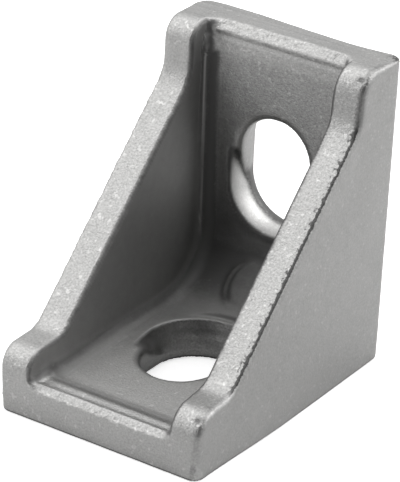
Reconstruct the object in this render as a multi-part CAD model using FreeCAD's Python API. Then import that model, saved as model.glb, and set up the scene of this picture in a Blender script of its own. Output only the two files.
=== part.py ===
"""Die-cast T-slot corner bracket: two slotted legs at a right angle, joined by two gussets.

One casting, in millimetres. The legs are mirror images of each other about the diagonal
plane through the heel, so every side outline is drawn in two lengths: a, measured forward
from the wall's mounting face, and z, measured up from the base's mounting face.
The origin is the middle of the bracket's footprint, on the base's mounting face.
"""
import math
import os

import FreeCAD
import Part
from FreeCAD import Vector

# Overall form
LEG = 28.0
HEEL_WIDTH = 19.7
SIDE_SPREAD_DEG = 0.9
PLATE = 3.05

# Gussets: a nose and an almost level land at each leg's end, then the 45 degree edge
END_HEIGHT = 5.8
LAND_LENGTH = 4.9
LAND_RISE = 0.2
NOSE_RADIUS = 2.0
LAND_BLEND_RADIUS = 3.0

# Pocket between the gussets
POCKET_WIDTH = 14.2
POCKET_DRAFT_DEG = 1.2
POCKET_CORNER_RADIUS = 7.5
POCKET_SIDE_FILLET = 1.5

# Raised lip along each leg's free end
LIP_LENGTH = 3.1
LIP_RISE = 0.3
LIP_RAMP = 0.7
LIP_TOP_RADIUS = 1.0
LIP_CORNER_RADIUS = 0.3

# Screw slot in each leg, measured along the leg from the heel; the base's is a little shorter
SLOT_HEEL_CENTRE = 13.8
BASE_SLOT_END_CENTRE = 16.45
WALL_SLOT_END_CENTRE = 16.95
SLOT_RADIUS_OUTSIDE = 4.15
SLOT_RADIUS_INSIDE = 3.1
SLOT_RIM_RADIUS = 0.55

# The slot's heel side is shaped from the pocket, wider, as far as a slanted parting plane
CORE_RADIUS = 4.3
CORE_DRAFT_DEG = 9.0
CORE_RIM_RADIUS = 0.2
PARTING_LAND = 0.3
PARTING_START = 12.3
PARTING_END = 16.95

# Room for a screw's head, where the slot comes near the pocket's corner radius
HEAD_CLEARANCE_RADIUS = 5.5

# Round boss left by the ejector pin, square to the diagonal
BOSS_RADIUS = 2.7
BOSS_FACE_DISTANCE = 7.85
BOSS_EDGE_BEVEL = 0.2

# Outer edges: each radius runs into the next one along the rounded stretch between them
FRONT_UPRIGHT_RADIUS = 0.9
BACK_UPRIGHT_RADIUS = 1.4
LAND_EDGE_RADIUS = 0.6
SLANT_EDGE_RADIUS = 0.35
TOP_EDGE_RADIUS = 0.5
BACK_EDGE_RADIUS = 0.25
HEEL_EDGE_RADIUS = 0.8
FOOT_EDGE_RADIUS = 0.2

# Edges where the pocket opens through the side outline
MOUTH_EDGE_BEVEL = 0.25

# Tools reach this far past the surfaces that they cut
REACH = 1.0
TOUCH = 1e-2
ROOT_HALF = math.sqrt(0.5)


def place(a, z, x=0.0):
    """The point a forward of the wall's mounting face and z above the base's."""
    return Vector(x, LEG / 2 - a, z)


def forward_and_up(point):
    """The lengths a and z of a point."""
    return LEG / 2 - point.y, point.z


def mirror_legs(shape):
    """The same shape on the other leg: a and z change places."""
    return shape.mirror(place(0.0, 0.0), Vector(0.0, ROOT_HALF, ROOT_HALF))


def corner_arc(before, corner, after, radius):
    """The start, the middle and the end of an arc that rounds a corner."""
    to_before = (before - corner).normalize()
    to_after = (after - corner).normalize()
    half = to_before.getAngle(to_after) / 2
    run = radius / math.tan(half)
    bisector = (to_before + to_after).normalize()
    centre = corner + bisector * (radius / math.sin(half))
    return corner + to_before * run, centre - bisector * radius, corner + to_after * run


def rounded_loop(points, radii):
    """A closed wire through points, with an arc in place of each corner that has a radius."""
    count = len(points)
    stretches = []
    for i, (point, radius) in enumerate(zip(points, radii)):
        if radius:
            stretches.append(corner_arc(points[i - 1], point, points[(i + 1) % count], radius))
        else:
            stretches.append((point, None, point))
    edges = []
    for i, (start, middle, end) in enumerate(stretches):
        if middle is not None:
            edges.append(Part.Arc(start, middle, end).toShape())
        following = stretches[(i + 1) % count][0]
        if end.distanceToPoint(following) > TOUCH:
            edges.append(Part.LineSegment(end, following).toShape())
    return Part.Wire(edges)


def outline(corners):
    """A side outline through (a, z, radius) corners, in the middle plane."""
    return rounded_loop([place(a, z) for a, z, _ in corners], [radius for _, _, radius in corners])


def prism(corners, width):
    """A side outline made solid, equally to the left and right of the middle plane."""
    face = Part.Face(outline(corners))
    face.translate(Vector(-width / 2, 0.0, 0.0))
    return face.extrude(Vector(width, 0.0, 0.0))


def drafted_slab(half_width_at_heel, growth):
    """The space between two side planes whose distance changes along the diagonal."""
    corners = []
    for along, side in ((-LEG, -1), (-LEG, 1), (2 * LEG, 1), (2 * LEG, -1)):
        half_width = half_width_at_heel + growth * along
        corners.append(place(along * ROOT_HALF, along * ROOT_HALF, side * half_width))
    across = Vector(0.0, -ROOT_HALF, -ROOT_HALF) * (2 * LEG)
    section = Part.Face(Part.makePolygon(corners + corners[:1]))
    section.translate(-across)
    return section.extrude(across * 2)


def side_outline():
    """The bracket's side view: both legs' ends, their noses and lands, and the slanted edge."""
    land_a = LEG - LAND_LENGTH
    land_z = END_HEIGHT + LAND_RISE
    return [
        (0.0, 0.0, 0.0),
        (LEG, 0.0, 0.0),
        (LEG, END_HEIGHT, NOSE_RADIUS),
        (land_a, land_z, LAND_BLEND_RADIUS),
        (land_z, land_a, LAND_BLEND_RADIUS),
        (END_HEIGHT, LEG, NOSE_RADIUS),
        (0.0, LEG, 0.0),
    ]


def blank():
    """The outside of the casting: its sides spread a little from the heel to the slanted edge."""
    spread = math.tan(math.radians(SIDE_SPREAD_DEG))
    return prism(side_outline(), 2 * HEEL_WIDTH).common(drafted_slab(HEEL_WIDTH / 2, spread))


def fillet_with_changing_radius(shape, radius_at, chosen):
    """Round the chosen edges, each from the radius at its first end to that at its last."""
    rows = []
    for number, edge in enumerate(shape.Edges, start=1):
        if chosen(edge):
            first, last = edge.Vertexes[0].Point, edge.Vertexes[-1].Point
            rows.append((number, radius_at(first), radius_at(last)))
    document = FreeCAD.newDocument()
    plain = document.addObject("Part::Feature", "plain")
    plain.Shape = shape
    rounded = document.addObject("Part::Fillet", "rounded")
    rounded.Base = plain
    rounded.Edges = rows
    document.recompute()
    result = rounded.Shape.copy()
    FreeCAD.closeDocument(document.Name)
    return result


def on_wall_face(point):
    return point.y > LEG / 2 - TOUCH


def rim_radius(point):
    """The outer edge's radius at a joint between two stretches of the side outline."""
    a, z = forward_and_up(point)
    if a > LEG - TOUCH:
        return FRONT_UPRIGHT_RADIUS
    if z > LEG - TOUCH:
        return BACK_EDGE_RADIUS if on_wall_face(point) else TOP_EDGE_RADIUS
    on_land = max(a, z) > LEG - LAND_LENGTH
    return LAND_EDGE_RADIUS if on_land else SLANT_EDGE_RADIUS


def foot_radius(point):
    """The radius of the base's bottom edge, larger along the heel."""
    return HEEL_EDGE_RADIUS if on_wall_face(point) else FOOT_EDGE_RADIUS


def round_outside(body):
    """Round the wall's upright edges, the rim of the side outline, and the foot."""
    def upright(edge):
        return edge.BoundBox.ZLength > LEG - TOUCH and on_wall_face(edge.CenterOfMass)

    def rim(edge):
        box = edge.BoundBox
        if box.XLength > HEEL_WIDTH / 2:
            return box.ZMin > LEG - TOUCH and on_wall_face(edge.CenterOfMass)
        return box.ZMax > TOUCH and box.ZLength < LEG - TOUCH

    def foot(edge):
        return edge.BoundBox.ZMax < TOUCH

    body = body.makeFillet(BACK_UPRIGHT_RADIUS, [edge for edge in body.Edges if upright(edge)])
    body = fillet_with_changing_radius(body, rim_radius, rim)
    return fillet_with_changing_radius(body, foot_radius, foot)


def pocket_slab():
    """The space between the gussets' inner sides, wider towards the mouth."""
    mouth = (LEG - LAND_LENGTH + END_HEIGHT + LAND_RISE) * ROOT_HALF
    growth = math.tan(math.radians(POCKET_DRAFT_DEG))
    return drafted_slab(POCKET_WIDTH / 2 - growth * mouth, growth)


def side_seams(shape, height):
    """The edges where the gussets' sides meet a leg's inner surface, up to a height over it."""
    def low(edge):
        box = edge.BoundBox
        a_max = LEG / 2 - box.YMin
        along_base = box.ZMax < height + TOUCH and box.YLength > TOUCH
        along_wall = a_max < height + TOUCH and box.ZLength > TOUCH
        round_corner = edge.Curve.TypeId != "Part::GeomLine"
        return along_base or along_wall or round_corner

    return [edge for edge in shape.Edges if edge.BoundBox.XLength < POCKET_WIDTH / 4 and low(edge)]


def pocket():
    """The space between the gussets, with its side fillets and its large corner radius."""
    lip_start = LEG - LIP_LENGTH
    inner = prism(
        [
            (PLATE, PLATE, POCKET_CORNER_RADIUS),
            (lip_start, PLATE, 0.0),
            (lip_start, lip_start, 0.0),
            (PLATE, lip_start, 0.0),
        ],
        2 * HEEL_WIDTH,
    ).common(pocket_slab())
    inner = inner.makeFillet(POCKET_SIDE_FILLET, side_seams(inner, PLATE))
    over_lip = space_over_lip()
    return inner.fuse([over_lip, mirror_legs(over_lip)])


def space_over_lip():
    """The pocket's space over the base's lip and in front of it."""
    lip_start = LEG - LIP_LENGTH
    lip_top = PLATE + LIP_RISE
    beyond = LEG + REACH
    space = prism(
        [
            (lip_start, PLATE, 0.0),
            (lip_start + LIP_RAMP, lip_top, LIP_TOP_RADIUS),
            (beyond, lip_top, 0.0),
            (beyond, beyond, 0.0),
            (lip_start, beyond, 0.0),
        ],
        2 * HEEL_WIDTH,
    ).common(pocket_slab())
    level = [edge for edge in side_seams(space, lip_top) if edge.BoundBox.ZLength < TOUCH]
    return space.makeFillet(LIP_CORNER_RADIUS, level)


def boss():
    """The ejector pin's boss, standing on the pocket's large corner radius."""
    diagonal = Vector(0.0, -ROOT_HALF, ROOT_HALF)
    cylinder = Part.makeCylinder(BOSS_RADIUS, BOSS_FACE_DISTANCE, place(0.0, 0.0), diagonal)
    face_rim = [edge for edge in cylinder.Edges if edge.BoundBox.ZMin > TOUCH and edge.isClosed()]
    above_diagonal = cylinder.makeChamfer(BOSS_EDGE_BEVEL, face_rim)
    corner = prism(
        [
            (PLATE / 2, PLATE / 2, 0.0),
            (LEG / 2, PLATE / 2, 0.0),
            (LEG / 2, LEG / 2, 0.0),
            (PLATE / 2, LEG / 2, 0.0),
        ],
        POCKET_WIDTH,
    )
    return above_diagonal.common(corner)


def head_clearance():
    """The room for a screw's head over the base's slot."""
    return Part.makeCylinder(
        HEAD_CLEARANCE_RADIUS, POCKET_CORNER_RADIUS, place(SLOT_HEEL_CENTRE, PLATE)
    )


def slot_tool(points, end):
    """Half a cross-section, in (x, z) points, carried round a slot in the base as far as end."""
    up = Vector(0.0, 0.0, 1.0)
    heel_centre = place(SLOT_HEEL_CENTRE, 0.0)
    end_centre = place(end, 0.0)
    corners = [place(SLOT_HEEL_CENTRE, z, x) for x, z in points]
    section = Part.Face(Part.makePolygon(corners + corners[:1]))
    right = section.extrude(end_centre - heel_centre)
    left = right.mirror(heel_centre, Vector(1.0, 0.0, 0.0))
    heel_end = section.revolve(heel_centre, up, 180.0)
    free_end = section.translated(end_centre - heel_centre).revolve(end_centre, up, -180.0)
    return heel_end.fuse([right, left, free_end]).removeSplitter()


def rim_flats(foot_x, foot_z, rim_x, radius):
    """Three (x, z) points that round the rim of a slot's wall in two flats, at the pocket."""
    foot = Vector(foot_x, 0.0, foot_z)
    corner = Vector(rim_x, 0.0, PLATE)
    beyond = Vector(rim_x + REACH, 0.0, PLATE)
    return [(point.x, point.z) for point in corner_arc(foot, corner, beyond, radius)]


def slot_from_outside(end):
    """A slot in the base as the outer die shapes it, narrower towards the pocket."""
    rim = rim_flats(SLOT_RADIUS_OUTSIDE, 0.0, SLOT_RADIUS_INSIDE, SLOT_RIM_RADIUS)
    return slot_tool(
        [(0.0, -REACH), (SLOT_RADIUS_OUTSIDE, -REACH), (SLOT_RADIUS_OUTSIDE, 0.0)]
        + rim
        + [(rim[-1][0], PLATE + REACH), (0.0, PLATE + REACH)],
        end,
    )


def slot_from_pocket(end):
    """The heel side of a slot in the base, shaped from the pocket down to the parting plane."""
    land_radius = CORE_RADIUS - (PLATE - PARTING_LAND) * math.tan(math.radians(CORE_DRAFT_DEG))
    rim = rim_flats(land_radius, PARTING_LAND, CORE_RADIUS, CORE_RIM_RADIUS)
    core = slot_tool(
        [(0.0, PARTING_LAND), (land_radius, PARTING_LAND)]
        + rim
        + [(rim[-1][0], PLATE + REACH), (0.0, PLATE + REACH)],
        end,
    )
    heel_side = prism(
        [
            (0.0, PARTING_LAND, 0.0),
            (PARTING_START, PARTING_LAND, 0.0),
            (PARTING_END, PLATE, 0.0),
            (PARTING_END, PLATE + REACH, 0.0),
            (0.0, PLATE + REACH, 0.0),
        ],
        2 * HEEL_WIDTH,
    )
    return core.common(heel_side)


def slot(end):
    """A slot in the base, from its heel centre to the centre of its free end."""
    return slot_from_outside(end).fuse(slot_from_pocket(end))


def is_mouth_edge(edge):
    """True for an edge where the pocket opens through the side outline."""
    box = edge.BoundBox
    middle = edge.valueAt((edge.FirstParameter + edge.LastParameter) / 2)
    across = box.XLength > POCKET_WIDTH / 2
    between_sides = abs(middle.x) < (HEEL_WIDTH + POCKET_WIDTH) / 4
    if not between_sides or (box.XLength > POCKET_SIDE_FILLET and not across):
        return False
    a, z = forward_and_up(middle)
    rim = outline(side_outline())
    return rim.distToShape(Part.Vertex(place(a, z)))[0] < TOUCH and min(a, z) > PLATE


def corner_bracket():
    """The whole casting."""
    body = round_outside(blank()).cut(pocket()).fuse(boss()).removeSplitter()
    relief = head_clearance()
    body = body.cut([relief, mirror_legs(relief)])
    body = body.makeChamfer(MOUTH_EDGE_BEVEL, [edge for edge in body.Edges if is_mouth_edge(edge)])
    slots = [slot(BASE_SLOT_END_CENTRE), mirror_legs(slot(WALL_SLOT_END_CENTRE))]
    return body.cut(slots).removeSplitter()


if __name__ == "__main__":
    os.makedirs("parts", exist_ok=True)
    corner_bracket().exportStep("parts/corner_bracket.step")
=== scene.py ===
"""Looks for the die-cast corner bracket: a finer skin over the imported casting, metal, light, camera."""
import math

import bpy
import numpy as np
from mathutils import Euler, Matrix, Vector, noise


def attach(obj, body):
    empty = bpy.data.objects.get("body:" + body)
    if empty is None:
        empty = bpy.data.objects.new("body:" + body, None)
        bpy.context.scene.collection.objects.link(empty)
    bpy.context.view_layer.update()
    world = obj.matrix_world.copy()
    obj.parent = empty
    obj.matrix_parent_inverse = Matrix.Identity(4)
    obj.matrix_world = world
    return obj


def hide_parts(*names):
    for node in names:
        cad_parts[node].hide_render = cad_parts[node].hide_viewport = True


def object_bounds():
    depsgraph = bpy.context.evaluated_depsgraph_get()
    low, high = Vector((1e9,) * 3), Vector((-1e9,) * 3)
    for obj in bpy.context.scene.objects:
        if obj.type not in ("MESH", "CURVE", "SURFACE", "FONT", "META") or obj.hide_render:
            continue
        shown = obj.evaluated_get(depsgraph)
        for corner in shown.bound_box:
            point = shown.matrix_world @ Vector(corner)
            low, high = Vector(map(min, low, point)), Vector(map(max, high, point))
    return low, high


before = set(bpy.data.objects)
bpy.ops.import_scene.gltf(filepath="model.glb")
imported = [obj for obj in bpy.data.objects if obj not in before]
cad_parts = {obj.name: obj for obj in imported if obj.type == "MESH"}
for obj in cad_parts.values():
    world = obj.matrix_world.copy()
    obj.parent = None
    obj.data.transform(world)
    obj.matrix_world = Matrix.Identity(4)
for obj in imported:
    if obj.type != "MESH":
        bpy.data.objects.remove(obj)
cad_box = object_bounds()

NODE = "corner_bracket"
MM = 0.001
COS_45 = math.sqrt(0.5)

# Camera, fitted to the photograph
CAMERA_PLACE = (0.13159, -0.19962, 0.13176)
CAMERA_TURN_DEG = (63.6117, -2.1843, 34.5084)
CAMERA_LENS = 290.236
SENSOR_WIDTH = 36.0

# Size of the skin's faces, in millimetres
VOXEL = 0.2

# The casting's own sizes, in millimetres, for placing what the skin adds
PLATE = 3.05
LAND_LENGTH = 4.9
LAND_TOP = 6.0
POCKET_HALF_WIDTH = 7.05
POCKET_DRAFT_DEG = 1.2
SIDE_FILLET = 1.5
SLOT_HEEL_CENTRE = 13.8
SLOT_END_CENTRE = 16.7
SLOT_RADIUS = 4.0
HEAD_CLEARANCE_RADIUS = 5.5
BOSS_RADIUS = 2.7
BOSS_FROM_HEEL = 7.6
LIP_LENGTH = 3.1
LIP_RISE = 0.3
LIP_RAMP = 0.7

# The step where the two cores of a slot meet, and the parting line along it in the wall's slot
STEP_ALONG = 15.5
STEP_RADIUS = 3.7
PARTING_HEIGHT = 1.1
PARTING_START = 12.8
PARTING_RUN = 3.8

# Height over the plate, against the distance back from a leg's free end
CAST_LIP = ((0.0, LIP_RISE), (LIP_LENGTH - LIP_RAMP, LIP_RISE), (LIP_LENGTH, 0.0))
BASE_LIP = ((0.0, 0.30), (0.5, 0.33), (0.95, 0.24), (1.6, 0.37), (2.6, 0.17), (3.1, 0.02), (3.4, 0.0))
WALL_LIP = ((0.0, 0.28), (0.8, 0.27), (1.2, 0.16), (1.6, 0.0), (3.1, 0.0))

# The side fillets' radius where they run out at a leg's free end
LIP_FILLET = 0.35

# The bevel on each lip's free edge: where the sharp edge stood over the plate, and the bevel's reach
LIP_EDGE = 0.35
LIP_BEVEL = 0.6

# Where the photographed casting differs from the solid: a thicker wall, a right gusset set inwards,
# and a higher and wider rim round the base's slot
WALL_EXTRA = 0.5
GUSSET_SHIFT = 0.4
BASE_EXTRA = 0.3
RIM_FLARE = 0.5

# Distances from a slot's centre line at which its rim is rounded, and flared in the base
RIM_RADIUS = 3.9
FLARE_RADIUS = 4.1

# The ledge at a lip's inner end, which is rounded: its height over the plate, and its place across
LEDGE_HEIGHT = 0.9
LEDGE_ACROSS = 6.6

# The blasted surface: the gussets' ragged edges, the pits in the right gusset's noses (across, along and
# above a leg), and two sizes of unevenness
EDGE_ROUGHNESS = 0.09
PIT_PLACE = (9.2, 27.35, 5.35)
PIT_REACH = 0.55
PIT_DEPTH = 0.12
BROAD_WAVE = 0.012
SMALL_WAVE = 0.006

# The painted dark reflection along the right side's trimmed edge begins and is full at these distances
# from the middle
TRIM_ACROSS = (8.9, 9.15)

# Across and forward: the stain on the right gusset's front, and the casting seam in the pocket's left
# corner, painted as a bright highlight line
STAIN_PLACE = (9.45, 27.7)
FLASH_PLACE = (-6.9, 4.25)

# The metal's tone, and what each mask on the skin adds to it: painted shade on the pocket's side faces,
# far inside it, on its wall, low in the slots and in its creases; painted light on the pocket's floor;
# painted highlights on the boss's side, the base slot's rim, the casting seam and the wall slot's heel
# rim; the top and slanted faces a little lighter
PLAIN_TONE = 0.43
LEAST_TONE = 0.15
MASK_TONES = {
    "beside_shade": -0.09,
    "deep_shade": -0.15,
    "floor_light": 0.09,
    "on_wall": -0.07,
    "boss_side_highlight": 0.32,
    "well_shade": -0.12,
    "fold_shade": -0.16,
    "rim_glint": 0.3,
    "flash_and_highlight": 0.5,
    "heel_rim_highlight": 0.26,
    "top": 0.025,
    "slanted": 0.03,
}
# How much the dark spots, the painted dark lines and the painted contact shadow darken the metal
MARK_AND_SHADE_DARKNESS = 0.75
GREEN_SHARE = 0.995
BLUE_SHARE = 0.982
OPEN_ROUGHNESS = 0.42
SHELTERED_ROUGHNESS = 0.62
BUMP_DISTANCE = 0.00005

# Noise in the metal as (scale, detail), from the broadest to the finest, and the streaks' stretch
BROAD_CLOUDS = (300.0, 3.0)
SMALL_CLOUDS = (1100.0, 2.0)
FLECKS = (1900.0, 1.0)
STREAKS = (2600.0, 3.0)
GRAIN = (3600.0, 2.0)
SPECKS = (5500.0, 2.0)
FINE_GRAIN = (7000.0, 1.0)
NOISE_ROUGHNESS = 0.6
STREAK_STRETCH = (0.05, 1.0, 1.0)

# The painted contact shadow at the casting's foot: full below the first height in metres, and gone above
# the second
FOOT_SHADOW = (0.00008, 0.00028)

# The light tent: its plain level, two bright directions with what they add, and a dark one with its share
PLAIN_LIGHT = 0.68
OVERHEAD = (-0.42, -0.35, 0.84)
OVERHEAD_LIGHT = 1.05
RIGHT_REAR = (0.55, 0.45, 0.70)
RIGHT_REAR_LIGHT = 1.6
DARK_SIDE = (0.46, -0.77, 0.44)
DARK_SHARE = 0.08

# The floor, in metres, its tones, and the direction in which it is darker
FLOOR_REACH = 0.6
FLOOR_DROP = 0.00002
FLOOR_TONE = 0.76
FLOOR_DARKENING = 0.5
FLOOR_SEEN_TONE = 0.85
FLOOR_GLOW = 0.62
FLOOR_DARK_AIM = (0.77, -0.64, 0.0)


def link(piece):
    bpy.context.scene.collection.objects.link(piece)
    return piece


def applied(piece):
    """The piece's mesh with its modifiers applied."""
    depsgraph = bpy.context.evaluated_depsgraph_get()
    return bpy.data.meshes.new_from_object(piece.evaluated_get(depsgraph))


def mesh_points(mesh):
    points = np.zeros(len(mesh.vertices) * 3, np.float32)
    mesh.vertices.foreach_get("co", points)
    return points.reshape(-1, 3).astype(float)


def set_points(mesh, points):
    mesh.vertices.foreach_set("co", points.astype(np.float32).ravel())
    mesh.update()


def even_skin(node):
    """The casting's surface as an even mesh, laid back on the CAD surface. Works in millimetres."""
    exact = node.data.copy()
    set_points(exact, mesh_points(exact) / MM)
    target = link(bpy.data.objects.new("exact_form", exact))
    coarse = link(bpy.data.objects.new("even_form", exact.copy()))
    remesh = coarse.modifiers.new("even", "REMESH")
    remesh.mode = "VOXEL"
    remesh.voxel_size = VOXEL
    wrap = coarse.modifiers.new("on_surface", "SHRINKWRAP")
    wrap.wrap_method = "NEAREST_SURFACEPOINT"
    wrap.target = target
    mesh = applied(coarse)
    bpy.data.objects.remove(coarse)
    bpy.data.objects.remove(target)
    return mesh


def fade(distance, reach):
    """1 at no distance, falling smoothly to 0 at reach to either side."""
    near = np.clip(1.0 - np.abs(distance) / reach, 0.0, 1.0)
    return near * near * (3.0 - 2.0 * near)


def fall(value, reach):
    """1 up to 0, falling smoothly to 0 at reach."""
    return fade(np.maximum(value, 0.0), reach)


def rise(value, low, high):
    """0 below low, 1 above high, and smooth between them."""
    share = np.clip((value - low) / (high - low), 0.0, 1.0)
    return share * share * (3.0 - 2.0 * share)


def follow(profile, distance):
    """The height that a profile of (distance, height) points gives."""
    return np.interp(distance, [point[0] for point in profile], [point[1] for point in profile])


def rough(points, scale, seed):
    """Smooth random values about 0, one for each point, changing over 1 / scale millimetres."""
    shift = Vector((seed * 17.3, seed * 5.1, seed * 9.7))
    return np.array([noise.noise(Vector(point) * scale + shift) for point in points])


def in_pocket(x, margin, reach):
    """1 between the gussets and 0 at a margin beyond the pocket's sides, smooth over the reach."""
    return rise(POCKET_HALF_WIDTH + margin - np.abs(x), 0.0, reach)


def to_centre_line(along):
    """The length along the leg from each point to the nearest place on the slot's centre line."""
    return np.clip(along, SLOT_HEEL_CENTRE, SLOT_END_CENTRE) - along


def slot_distance(x, along):
    """Each point's distance from the slot's centre line."""
    return np.hypot(x, to_centre_line(along))


class Skin:
    """The skin's mesh, with its points, normals and edges as arrays in millimetres."""

    def __init__(self, mesh):
        self.mesh = mesh
        self.points = mesh_points(mesh)
        self.leg = self.points[:, 2].max()
        self.read_normals()
        edges = np.zeros(len(mesh.edges) * 2, np.int32)
        mesh.edges.foreach_get("vertices", edges)
        self.edges = edges.reshape(-1, 2)

    def read_normals(self):
        normals = np.zeros(len(self.mesh.vertices) * 3, np.float32)
        self.mesh.vertex_normals.foreach_get("vector", normals)
        self.normals = normals.reshape(-1, 3).astype(float)

    def write(self):
        set_points(self.mesh, self.points)
        self.read_normals()

    def base(self):
        """Lengths across, along and above the base leg."""
        x, y, z = self.points.T
        return x, self.leg / 2 - y, z

    def wall(self):
        """Lengths across, along and above the wall leg."""
        x, forward, z = self.base()
        return x, z, forward

    def legs(self):
        """For each leg: lengths across, along and above it, the axis above, and that axis's sign."""
        return (*self.base(), 2, 1.0), (*self.wall(), 1, -1.0)

    def from_heel(self):
        """Each point's distance out from the heel's edge, half way between the legs."""
        _, forward, z = self.base()
        return (forward + z) * COS_45

    def from_boss_axis(self):
        """Each point's distance from the axis of the round boss in the heel."""
        x, forward, z = self.base()
        return np.hypot(x, (forward - z) * COS_45)

    def slant_depth(self):
        """How far each point lies below the plane of the gussets' slanted edges."""
        _, forward, z = self.base()
        return (self.leg - LAND_LENGTH + LAND_TOP - forward - z) * COS_45

    def relax(self, weight, rounds):
        """Draw each point towards the middle of its neighbours by its weight, again and again."""
        first, second = self.edges.T
        count = np.bincount(self.edges.ravel(), minlength=len(self.points))[:, None]
        for _ in range(rounds):
            total = np.zeros_like(self.points)
            np.add.at(total, first, self.points[second])
            np.add.at(total, second, self.points[first])
            self.points += weight[:, None] * (total / count - self.points)
        self.write()

    def store(self, name, values):
        """Keep one value for each point, for the material to read."""
        layer = self.mesh.attributes.new(name, "FLOAT", "POINT")
        layer.data.foreach_set("value", np.asarray(values, np.float32))


def taper_side_fillets(skin):
    """Run the pocket's side fillets out along the lips, where the solid stops them short."""
    mouth = (skin.leg - LAND_LENGTH + LAND_TOP) * COS_45
    lip_start = skin.leg - LIP_LENGTH
    draft = math.tan(math.radians(POCKET_DRAFT_DEG))
    for x, along, above, axis, sign in skin.legs():
        half_width = POCKET_HALF_WIDTH + 0.05 + ((along + above) * COS_45 - mouth) * draft
        radius = SIDE_FILLET - (SIDE_FILLET - LIP_FILLET) * rise(along, lip_start, skin.leg + 0.3)
        bottom = PLATE + LIP_RISE * rise(along, lip_start, lip_start + LIP_RAMP)
        across = np.abs(x) - (half_width - radius)
        up = above - (bottom + radius)
        away = np.hypot(across, up)
        chosen = (across > 0.0) & (up < 0.0) & (away > radius) & (along > lip_start - 0.3)
        chosen &= (np.abs(x) < half_width + 0.15) & (above > bottom - 0.25)
        share = np.where(chosen, radius / np.maximum(away, 0.01), 1.0)
        skin.points[:, 0] += np.sign(x) * across * (share - 1.0)
        skin.points[:, axis] += sign * up * (share - 1.0)
    skin.write()


def soften_small_edges(skin):
    """Round the slots' rims and steps, the lips' edges and the boss, as a blasted casting has them."""
    rims = np.zeros(len(skin.points))
    clearances = np.zeros(len(skin.points))
    steps = np.zeros(len(skin.points))
    ledges = np.zeros(len(skin.points))
    for x, along, above, axis, _ in skin.legs():
        on_wall = axis == 1
        radius = slot_distance(x, along)
        rim = 0.5 * fade(above - PLATE, 0.7) * fade(radius - RIM_RADIUS, 1.4)
        if on_wall:
            rim = rim * rise(along, SLOT_HEEL_CENTRE, SLOT_END_CENTRE)
        mouth = fade(along - skin.leg, 1.0) * fade(above - PLATE - LIP_RISE, 0.9)
        rims = np.maximum(np.maximum(rims, rim), 0.6 * mouth * in_pocket(x, 0.4, 0.3))
        arc = fade(radius - HEAD_CLEARANCE_RADIUS, 1.2) * rise(above, 2.6, 3.0)
        arc = arc * rise(11.5 - along, 0.0, 2.0)
        clearances = np.maximum(clearances, (0.5 if on_wall else 0.05) * arc)
        step = 0.5 * fade(along - STEP_ALONG, 2.6) * fade(radius - STEP_RADIUS, 0.9)
        steps = np.maximum(steps, step * fade(above - 2.0, 1.5))
        ledge = np.sqrt((along - skin.leg + LIP_LENGTH) ** 2 + (above - PLATE - LEDGE_HEIGHT) ** 2)
        ledges = np.maximum(ledges, 0.5 * fade(ledge, 1.6) * fade(np.abs(x) - LEDGE_ACROSS, 1.7))
    boss = fade(skin.from_heel() - BOSS_FROM_HEEL, 0.8) * fade(skin.from_boss_axis() - BOSS_RADIUS, 0.7)
    skin.relax(rims, 5)
    skin.relax(0.5 * boss, 25)
    skin.relax(clearances, 20)
    skin.relax(steps, 60)
    skin.relax(ledges, 12)


def shape_lips(skin):
    """Give each leg's lip the low waves that its die left."""
    for (x, along, above, axis, sign), profile in zip(skin.legs(), (BASE_LIP, WALL_LIP)):
        back = skin.leg - along
        change = follow(profile, back) - follow(CAST_LIP, back)
        facing = rise(skin.normals[:, axis] * sign, 0.2, 0.7)
        low = rise(PLATE + LIP_RISE + 0.5 - above, 0.0, 0.2) * rise(above, PLATE - 1.0, PLATE - 0.5)
        skin.points[:, axis] += sign * change * facing * in_pocket(x, 0.1, 0.5) * low
    skin.write()


def thicken_wall(skin):
    """Bring the wall's pocket side forward, with its slot, and leave its mounting face in place."""
    x, along, above = skin.wall()
    through = np.clip(above / PLATE, 0.0, 1.0) * (1.0 - rise(above, PLATE + 1.2, PLATE + 4.0))
    extra = WALL_EXTRA * (1.0 - 0.5 * rise(along, skin.leg - 1.6, skin.leg - 1.2))
    skin.points[:, 1] -= extra * through * in_pocket(x, 0.15, 0.3) * rise(along, 6.5, 11.0)
    skin.write()


def raise_base_rim(skin):
    """Lift the floor round the heel side of the base's slot a little, and flare the slot's rim there."""
    x, along, above = skin.base()
    off_centre = to_centre_line(along)
    radius = np.maximum(slot_distance(x, along), 0.1)
    flare = RIM_FLARE * rise(above, 1.2, PLATE) * fade(radius - FLARE_RADIUS, 1.3)
    flare = flare * rise(17.5 - along, 0.0, 4.0)
    through = np.clip(above / PLATE, 0.0, 1.0) * (1.0 - rise(above, PLATE + 0.8, PLATE + 3.0))
    lift = BASE_EXTRA * through * in_pocket(x, 0.15, 0.6)
    lift = lift * rise(along, 5.0, 9.0) * rise(23.0 - along, 0.0, 8.0)
    skin.points += np.stack([flare * x / radius, flare * off_centre / radius, lift], axis=1)
    skin.write()


def bevel_lips(skin):
    """Break each lip's free edge with a ragged bevel."""
    for x, along, above, axis, sign in skin.legs():
        waves = 0.10 * rough(skin.points, 2.4, 5) + 0.06 * rough(skin.points, 5.0, 6)
        beyond = (along - skin.leg) + (above - PLATE - LIP_EDGE) + LIP_BEVEL + waves
        beyond = np.clip(beyond, 0.0, 1.2) * in_pocket(x, 0.1, 1.2) * (np.abs(above - PLATE - 0.3) < 1.2)
        skin.points[:, axis] -= sign * 0.5 * beyond
        skin.points[:, 3 - axis] += sign * 0.5 * beyond
    skin.write()


def shift_right_gusset(skin):
    """Set the right gusset's slanted edge inwards."""
    x, forward, _ = skin.base()
    depth = skin.slant_depth()
    near = rise(depth, -5.0, -0.5) * (1.0 - rise(depth, 1.5, 9.0)) * rise(forward, 1.0, 6.5)
    skin.points[:, 0] -= GUSSET_SHIFT * near * rise(x, 5.5, 6.8)
    skin.write()


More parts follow.
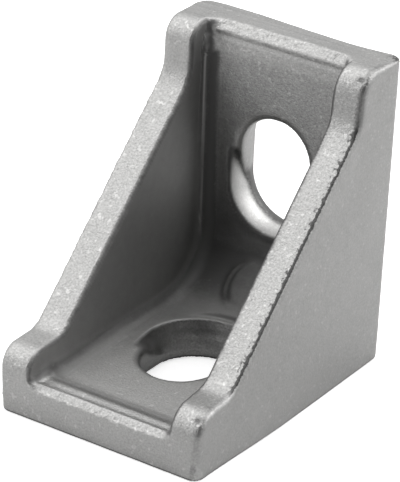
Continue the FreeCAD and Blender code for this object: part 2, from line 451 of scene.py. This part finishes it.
def ragged_edges(skin):
    """Make the gussets' slanted edges ragged where the blasting stopped at the trimmed line."""
    x = np.abs(skin.points[:, 0])
    edge = np.maximum(fade(x - x.max() + 0.1, 0.5), fade(x - POCKET_HALF_WIDTH, 0.4))
    edge = fade(skin.slant_depth() - 0.1, 0.45) * edge
    waves = rough(skin.points, 2.2, 1) + 0.6 * rough(skin.points, 4.5, 2)
    skin.points += skin.normals * (edge * waves * EDGE_ROUGHNESS)[:, None]
    skin.write()


def nose_pits(skin):
    """The small pits at the noses of the right gusset, 0 to 1 over the skin."""
    pits = np.zeros(len(skin.points))
    pit_across, pit_along, pit_above = PIT_PLACE
    for x, along, above, _, _ in skin.legs():
        away = np.sqrt((x - pit_across) ** 2 + (along - pit_along) ** 2 + (above - pit_above) ** 2)
        pits = np.maximum(pits, fade(away, PIT_REACH))
    return pits


def cast_surface(skin):
    """A slight unevenness over the whole casting, and the pits."""
    skin.points -= skin.normals * (PIT_DEPTH * nose_pits(skin))[:, None]
    waves = BROAD_WAVE * rough(skin.points, 0.45, 3) + SMALL_WAVE * rough(skin.points, 1.6, 4)
    skin.points += skin.normals * waves[:, None]
    skin.write()


def store_slot_masks(skin):
    """Mark the slots, their painted shade low down and the painted highlights on their rims. Returns which
    points are in a slot, and the wall slot's line of painted shade.
    """
    x, along, above = skin.base()
    up = skin.normals[:, 2]
    radius = slot_distance(x, along)
    # A painted highlight on the heel side of the base slot's rim
    glint = fade(radius - SLOT_RADIUS - 0.7, 1.0) * fade(up - 0.8, 0.3) * rise(17.0 - along, 0.0, 4.0)
    skin.store("rim_glint", glint * rise(above, 2.4, 3.0) * rise(4.4 - above, 0.0, 0.5))
    in_base_slot = fall(radius - SLOT_RADIUS - 0.8, 0.3) * rise(4.0 - above, 0.0, 0.5)
    in_base_slot = in_base_slot * (1.0 - rise(up, 0.3, 0.6))

    x, along, above = skin.wall()
    in_wall_slot = fall(slot_distance(x, along) - SLOT_RADIUS, 0.4) * rise(5.0 - above, 0.0, 0.5)
    # A line of painted shade along the parting line in the wall's slot, and under it at the heel
    climb = np.clip((along - PARTING_START) / PARTING_RUN, 0.0, 1.0)
    parting = PARTING_HEIGHT + (PLATE - PARTING_HEIGHT + 0.3) * climb
    below = 0.8 * rise(parting - above, 0.0, 0.2) * rise(SLOT_HEEL_CENTRE + 0.8 - along, 0.0, 1.0)
    parting_shade = in_wall_slot * np.maximum(fade(above - parting, 0.3), below)
    parting_shade = parting_shade * rise(17.0 - along, 0.0, 0.5)
    # A painted highlight on the heel side of the wall slot, above the parting line
    heel_rim_highlight = in_wall_slot * rise(above, parting + 0.1, parting + 0.6)
    skin.store("heel_rim_highlight", heel_rim_highlight * rise(16.5 - along, 0.0, 1.5) * rise(along, 5.0, 8.0))

    in_slot = np.maximum(in_base_slot, in_wall_slot)
    # Painted shade low in the slots
    skin.store("well_shade", in_slot * rise(PLATE + 0.6 - skin.points[:, 2], 0.0, 0.3))
    return in_slot, parting_shade


def store_pocket_masks(skin, in_slot):
    """Mark the parts of the pocket that get painted shade or painted light, and the slanted faces outside
    it.
    """
    x, forward, z = skin.base()
    side, front, up = skin.normals.T
    turn = np.abs(side)
    depth = skin.slant_depth()
    from_corner = np.minimum(forward, z)
    off_slot = 1.0 - in_slot
    inside = fall(np.abs(x) - POCKET_HALF_WIDTH - 0.1, 0.3) * rise(depth, -0.2, 0.3)
    inside = inside * rise(from_corner, 1.6, 2.4)
    mouth = fall(np.abs(x) - POCKET_HALF_WIDTH - 0.15, 0.3) * rise(turn, 0.25, 0.6)
    mouth = mouth * rise(from_corner, PLATE, PLATE + 0.5)
    plain = inside * off_slot * (1.0 - rise(turn, 0.7, 0.97))
    deep_shade = rise(depth, 4.0, 12.0)
    tilted = rise(np.minimum(-front, up), 0.15, 0.5)
    lip_edge = fall(skin.leg - 0.7 - np.maximum(forward, z), 0.4)
    skin.store("slanted", tilted * np.maximum(1.0 - inside, lip_edge))
    # Painted shade on the pocket's side faces and far inside the pocket
    skin.store("beside_shade", np.maximum(inside * rise(turn, 0.05, 0.3), mouth) * off_slot)
    skin.store("deep_shade", plain * deep_shade)
    # Painted light on the pocket's floor, and painted shade on its wall
    skin.store("floor_light", plain * rise(up, 0.6, 0.95))
    skin.store("on_wall", plain * rise(-front, 0.6, 0.95))

    # Painted shade in the pocket's creases and the heel's corner fillet, less on the boss
    on_boss = rise(3.0 - skin.from_boss_axis(), 0.0, 0.3) * rise(skin.from_heel(), 6.8, 7.2)
    heel = 0.7 + 0.4 * rise(up, 0.45, 0.7) * (1.0 - on_boss)
    fold_shade = np.maximum(inside, mouth) * rise(turn, 0.0, 0.5) * rise(0.99 - turn, 0.0, 0.15)
    fold_shade = fold_shade * off_slot * (1.0 - 0.7 * deep_shade)
    skin.store("fold_shade", np.maximum(fold_shade, heel * tilted * plain))
    # A painted highlight on the round boss's side
    boss = fade(skin.from_boss_axis() - BOSS_RADIUS, 0.6) * fade(skin.from_heel() - BOSS_FROM_HEEL, 0.9)
    skin.store("boss_side_highlight", boss * rise(turn, 0.1, 0.4))


def store_mark_masks(skin, parting_shade):
    """Mark the side and top faces, the painted dark reflection along the trimmed edge, the painted
    highlight on the casting seam, and the pits, the wall slot's line of painted shade and the stain.
    """
    x, forward, z = skin.base()
    side, _, up = skin.normals.T
    depth = skin.slant_depth()
    skin.store("flat_side", rise(np.abs(side), 0.6, 0.95))
    skin.store("turn", np.abs(side))
    skin.store("top", rise(up, 0.8, 0.95) * rise(z, skin.leg - 0.6, skin.leg - 0.1))
    # Where the painted dark reflection runs along the right gusset's trimmed slanted edge
    trim = rise(x, *TRIM_ACROSS) * (0.45 + 0.55 * rise(z, 4.5, 6.5))
    skin.store("trim", trim * (0.35 + 0.65 * rise(depth, -0.4, -0.1) * fade(depth, 0.8)))
    # The casting seam in the pocket's left corner, painted as a bright highlight line
    flash_and_highlight = fade(x - FLASH_PLACE[0], 0.6) * fade(forward - FLASH_PLACE[1], 0.14)
    skin.store("flash_and_highlight", flash_and_highlight * rise(z, 7.0, 10.0) * rise(26.0 - z, 0.0, 1.0))
    stain = 0.3 * fade(x - STAIN_PLACE[0], 0.6) * fade(forward - STAIN_PLACE[1], 0.8)
    stain = stain * rise(z, 0.6, 3.0) * rise(5.6 - z, 0.0, 0.4)
    # Darker in the pits, painted shade along the wall slot's parting line, and the stain
    skin.store("marks_and_shade", np.maximum(np.maximum(nose_pits(skin), parting_shade), stain))


def cast_skin():
    """The finished skin over the solid, with its masks, in metres and within the solid's own box."""
    skin = Skin(even_skin(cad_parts[NODE]))
    taper_side_fillets(skin)
    soften_small_edges(skin)
    shape_lips(skin)
    thicken_wall(skin)
    raise_base_rim(skin)
    bevel_lips(skin)
    shift_right_gusset(skin)
    ragged_edges(skin)
    cast_surface(skin)
    in_slot, parting_shade = store_slot_masks(skin)
    store_pocket_masks(skin, in_slot)
    store_mark_masks(skin, parting_shade)
    set_points(skin.mesh, np.clip(skin.points * MM, cad_box[0], cad_box[1]))
    skin.mesh.shade_smooth()
    skin.mesh.materials.clear()
    return skin.mesh


class Nodes:
    """Short calls for building a node tree."""

    def __init__(self, tree):
        self.tree = tree
        tree.nodes.clear()

    def add(self, kind, inputs=(), **settings):
        node = self.tree.nodes.new(kind)
        for name, value in settings.items():
            setattr(node, name, value)
        for name, value in dict(inputs).items():
            socket = node.inputs[name]
            if isinstance(value, bpy.types.NodeSocket):
                self.tree.links.new(value, socket)
            else:
                socket.default_value = value
        return node

    def maths(self, operation, values):
        """The values joined by the operation, from the first to the last."""
        result = values[0]
        for value in values[1:]:
            result = self.add("ShaderNodeMath", {0: result, 1: value}, operation=operation).outputs[0]
        return result

    def plus(self, *values):
        return self.maths("ADD", values)

    def minus(self, *values):
        return self.maths("SUBTRACT", values)

    def times(self, *values):
        return self.maths("MULTIPLY", values)

    def largest(self, *values):
        return self.maths("MAXIMUM", values)

    def ramp(self, value, low, high, out_low=0.0, out_high=1.0):
        """out_low below low, out_high above high, and smooth between them."""
        node = self.add(
            "ShaderNodeMapRange",
            {0: value, 1: low, 2: high, 3: out_low, 4: out_high},
            interpolation_type="SMOOTHSTEP",
        )
        return node.outputs[0]

    def vector(self, operation, *values):
        return self.add("ShaderNodeVectorMath", dict(enumerate(values)), operation=operation).outputs


def metal():
    """Blasted die-cast metal: grain everywhere, coarse on the slanted faces, streaks on the top, with
    painted shade, painted highlights and painted dark lines from the skin's masks.
    """
    material = bpy.data.materials.new("cast_aluminium")
    material.use_nodes = True
    n = Nodes(material.node_tree)
    place = n.add("ShaderNodeTexCoord").outputs["Object"]

    def mask(name):
        return n.add("ShaderNodeAttribute", attribute_name=name).outputs["Fac"]

    def cloud(size, stretch=(1.0, 1.0, 1.0)):
        where = n.vector("MULTIPLY", place, stretch)["Vector"]
        scale, detail = size
        values = {"Vector": where, "Scale": scale, "Detail": detail, "Roughness": NOISE_ROUGHNESS}
        return n.add("ShaderNodeTexNoise", values).outputs["Fac"]

    def about_zero(value, size):
        return n.times(n.minus(value, 0.5), size)

    masks = {name: mask(name) for name in MASK_TONES}
    shaded = n.largest(masks["beside_shade"], masks["deep_shade"])
    sheltered = n.largest(shaded, n.times(masks["floor_light"], 0.5))
    coarse = n.times(
        n.plus(n.times(masks["slanted"], 0.35), 0.65),
        n.minus(1.0, n.times(shaded, 0.8)),
        n.minus(1.0, n.times(mask("flat_side"), 0.4)),
    )
    grain = n.plus(n.times(cloud(GRAIN), 0.5), cloud(FINE_GRAIN))
    streaks = cloud(STREAKS, STREAK_STRETCH)
    height = n.plus(n.times(grain, coarse), n.times(streaks, masks["top"], 0.6))
    bump = n.add("ShaderNodeBump", {"Height": height, "Strength": 1.0, "Distance": BUMP_DISTANCE})
    flecks = n.ramp(cloud(FLECKS), 0.64, 0.72)
    tone = n.plus(
        PLAIN_TONE,
        about_zero(cloud(BROAD_CLOUDS), 0.05),
        about_zero(cloud(SMALL_CLOUDS), 0.06),
        n.times(about_zero(cloud(SPECKS), 0.50), coarse),
        n.times(about_zero(streaks, 0.20), masks["top"]),
        n.times(flecks, coarse, 0.16),
        *[n.times(masks[name], change) for name, change in MASK_TONES.items()],
    )
    over_floor = n.add("ShaderNodeSeparateXYZ", {0: place}).outputs["Z"]
    # A painted contact shadow at the casting's foot
    foot = n.ramp(over_floor, *FOOT_SHADOW, 1.0, 0.0)
    # A painted dark reflection along the right gusset's trimmed edge
    trimmed = n.times(dark_edge_reflection(n, mask("turn"), about_zero(cloud(STREAKS), 0.7)), mask("trim"))
    dark = n.largest(trimmed, mask("marks_and_shade"), foot)
    tone = n.times(n.largest(tone, LEAST_TONE), n.minus(1.0, n.times(dark, MARK_AND_SHADE_DARKNESS)))
    colour = n.add("ShaderNodeCombineColor", {
        0: tone, 1: n.times(tone, GREEN_SHARE), 2: n.times(tone, BLUE_SHARE),
    })
    shader = n.add("ShaderNodeBsdfPrincipled", {
        "Base Color": colour.outputs[0],
        "Metallic": 1.0,
        "Roughness": n.ramp(sheltered, 0.0, 1.0, OPEN_ROUGHNESS, SHELTERED_ROUGHNESS),
        "Normal": bump.outputs["Normal"],
    })
    n.add("ShaderNodeOutputMaterial", {"Surface": shader.outputs[0]})
    return material


def dark_edge_reflection(n, turn, wander):
    """A ragged line of painted dark reflection where the side faces start to turn round their edges."""
    level = n.plus(turn, wander)
    return n.times(n.ramp(level, 0.02, 0.12), n.ramp(level, 0.50, 0.65, 1.0, 0.0))


def world_light():
    """A pale light tent, brighter overhead and darker round the place where the camera stands."""
    world = bpy.data.worlds.new("light_tent")
    bpy.context.scene.world = world
    world.use_nodes = True
    n = Nodes(world.node_tree)
    direction = n.add("ShaderNodeTexCoord").outputs["Generated"]

    def towards(aim):
        return n.vector("DOT_PRODUCT", direction, tuple(Vector(aim).normalized()))["Value"]

    overhead = n.ramp(towards(OVERHEAD), 0.3, 1.0, 0.0, OVERHEAD_LIGHT)
    right_rear = n.ramp(towards(RIGHT_REAR), 0.7, 1.0, 0.0, RIGHT_REAR_LIGHT)
    darker = n.ramp(towards(DARK_SIDE), 0.55, 0.92, 1.0, DARK_SHARE)
    strength = n.times(n.plus(overhead, right_rear, PLAIN_LIGHT), darker)
    lit = n.add("ShaderNodeBackground", {"Color": (1.0, 1.0, 1.0, 1.0), "Strength": strength})
    white = n.add("ShaderNodeBackground", {"Color": (1.0, 1.0, 1.0, 1.0), "Strength": 1.0})
    camera_ray = n.add("ShaderNodeLightPath").outputs["Is Camera Ray"]
    mix = n.add("ShaderNodeMixShader", {0: camera_ray, 1: lit.outputs[0], 2: white.outputs[0]})
    n.add("ShaderNodeOutputWorld", {"Surface": mix.outputs[0]})


def pale_card():
    """The floor's material, darker to the front right, and glowing where the camera sees it."""
    material = bpy.data.materials.new("pale_floor")
    material.use_nodes = True
    n = Nodes(material.node_tree)
    camera_ray = n.add("ShaderNodeLightPath").outputs["Is Camera Ray"]
    place = n.add("ShaderNodeTexCoord").outputs["Object"]
    aim = n.vector("DOT_PRODUCT", n.vector("NORMALIZE", place)["Vector"], FLOOR_DARK_AIM)["Value"]
    away = n.vector("LENGTH", place)["Value"]
    dark = n.times(n.ramp(aim, 0.25, 0.8), n.ramp(away, 0.018, 0.034))
    shade = n.minus(FLOOR_TONE, n.times(dark, FLOOR_DARKENING))
    tone = n.largest(shade, n.times(camera_ray, FLOOR_SEEN_TONE))
    grey = n.add("ShaderNodeCombineColor", {0: tone, 1: tone, 2: tone})
    card = n.add("ShaderNodeBsdfDiffuse", {"Color": grey.outputs[0]})
    glow = n.add("ShaderNodeEmission", {"Strength": n.times(camera_ray, FLOOR_GLOW)})
    both = n.add("ShaderNodeAddShader", {0: card.outputs[0], 1: glow.outputs[0]})
    n.add("ShaderNodeOutputMaterial", {"Surface": both.outputs[0]})
    return material


def floor():
    """A pale floor, white to the camera apart from the bracket's faint shadow."""
    mesh = bpy.data.meshes.new("floor")
    signs = ((-1, -1), (1, -1), (1, 1), (-1, 1))
    mesh.from_pydata([(x * FLOOR_REACH, y * FLOOR_REACH, 0.0) for x, y in signs], [], [(0, 1, 2, 3)])
    mesh.materials.append(pale_card())
    piece = link(bpy.data.objects.new("floor", mesh))
    piece.location.z = -FLOOR_DROP


def camera():
    """The camera that was fitted to the photograph."""
    lens = bpy.data.cameras.new("camera")
    lens.sensor_fit = "HORIZONTAL"
    lens.sensor_width = SENSOR_WIDTH
    lens.lens = CAMERA_LENS
    lens.clip_start = 0.01
    lens.clip_end = 10.0
    piece = link(bpy.data.objects.new("camera", lens))
    piece.location = CAMERA_PLACE
    piece.rotation_euler = Euler([math.radians(turn) for turn in CAMERA_TURN_DEG], "XYZ")
    bpy.context.scene.camera = piece


bracket = link(bpy.data.objects.new("cast_bracket", cast_skin()))
bracket.data.materials.append(metal())
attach(bracket, "root")
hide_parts(NODE)
world_light()
floor()
camera()
bpy.context.scene.view_settings.view_transform = "Standard"
